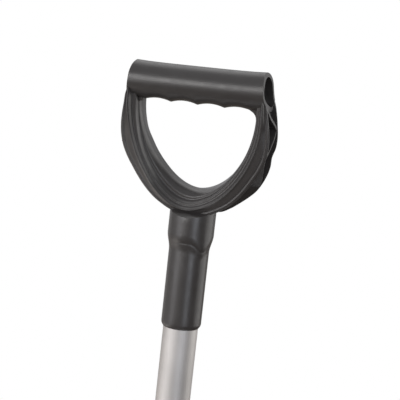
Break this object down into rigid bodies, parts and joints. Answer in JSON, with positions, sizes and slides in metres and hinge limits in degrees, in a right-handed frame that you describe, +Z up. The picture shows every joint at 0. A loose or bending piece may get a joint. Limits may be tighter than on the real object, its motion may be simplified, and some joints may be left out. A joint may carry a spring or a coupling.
{
  "type": "post hole digger",
  "caption": "Clamshell post hole digger: curved steel blades on a pivoting yoke, worked by tubular handles with moulded D-grips.",
  "frame": {"origin": "on the ground under the middle of the digger, level with the blades' noses", "axes": "+Z up along the digger, X the direction in which the handles spread, -Y the side where the user stands; the hinge axis runs along Y at 0.300 m above the origin"},
  "size_m": [0.4484, 0.1386, 1.2996],
  "materials": {
    "grip_plastic": "moulded dark slate polypropylene, satin with a fine grain",
    "tube_aluminium": "satin drawn tube",
    "blade_steel": "black powder coat, bare and worn at the cutting edge",
    "yoke_steel": "black powder coat",
    "rivet_steel": "black coated rivet, rubbed bright on the dome",
    "zinc_steel": "zinc plated",
    "bronze": "plain bronze bush",
    "nylon": "natural nylon",
    "plug_plastic": "black moulded plug"
  },
  "bodies": {
    "left_half": {"grip_left": "grip_plastic", "grip_screw_left": "zinc_steel", "handle_tube_left": "tube_aluminium", "tube_plug_left": "plug_plastic", "blade_left": "blade_steel", "yoke_left": "yoke_steel", "handle_bolt_upper_left": "zinc_steel", "handle_nut_upper_left": "zinc_steel", "saddle_washer_upper_left": "zinc_steel", "handle_bolt_lower_left": "zinc_steel", "handle_nut_lower_left": "zinc_steel", "saddle_washer_lower_left": "zinc_steel", "blade_rivet_front_left": "rivet_steel", "blade_rivet_rear_left": "rivet_steel", "pivot_bolt_front": "zinc_steel", "pivot_nut_front": "zinc_steel", "pivot_washer_outer_front": "zinc_steel", "pivot_washer_inner_front": "zinc_steel", "friction_washer_front": "nylon", "stop_pin_front": "zinc_steel", "pivot_bolt_rear": "zinc_steel", "pivot_nut_rear": "zinc_steel", "pivot_washer_outer_rear": "zinc_steel", "pivot_washer_inner_rear": "zinc_steel", "friction_washer_rear": "nylon", "stop_pin_rear": "zinc_steel"},
    "right_half": {"grip_right": "grip_plastic", "grip_screw_right": "zinc_steel", "handle_tube_right": "tube_aluminium", "tube_plug_right": "plug_plastic", "blade_right": "blade_steel", "yoke_right": "yoke_steel", "handle_bolt_upper_right": "zinc_steel", "handle_nut_upper_right": "zinc_steel", "saddle_washer_upper_right": "zinc_steel", "handle_bolt_lower_right": "zinc_steel", "handle_nut_lower_right": "zinc_steel", "saddle_washer_lower_right": "zinc_steel", "blade_rivet_front_right": "rivet_steel", "blade_rivet_rear_right": "rivet_steel", "pivot_bush_front": "bronze", "pivot_bush_rear": "bronze"}
  },
  "joints": [
    {"name": "blade_pivot", "type": "hinge", "parent": "left_half", "child": "right_half", "pos_m": [0, 0, 0.3], "axis": [0, 1, 0], "range_deg": [0, 29.2]}
  ]
}
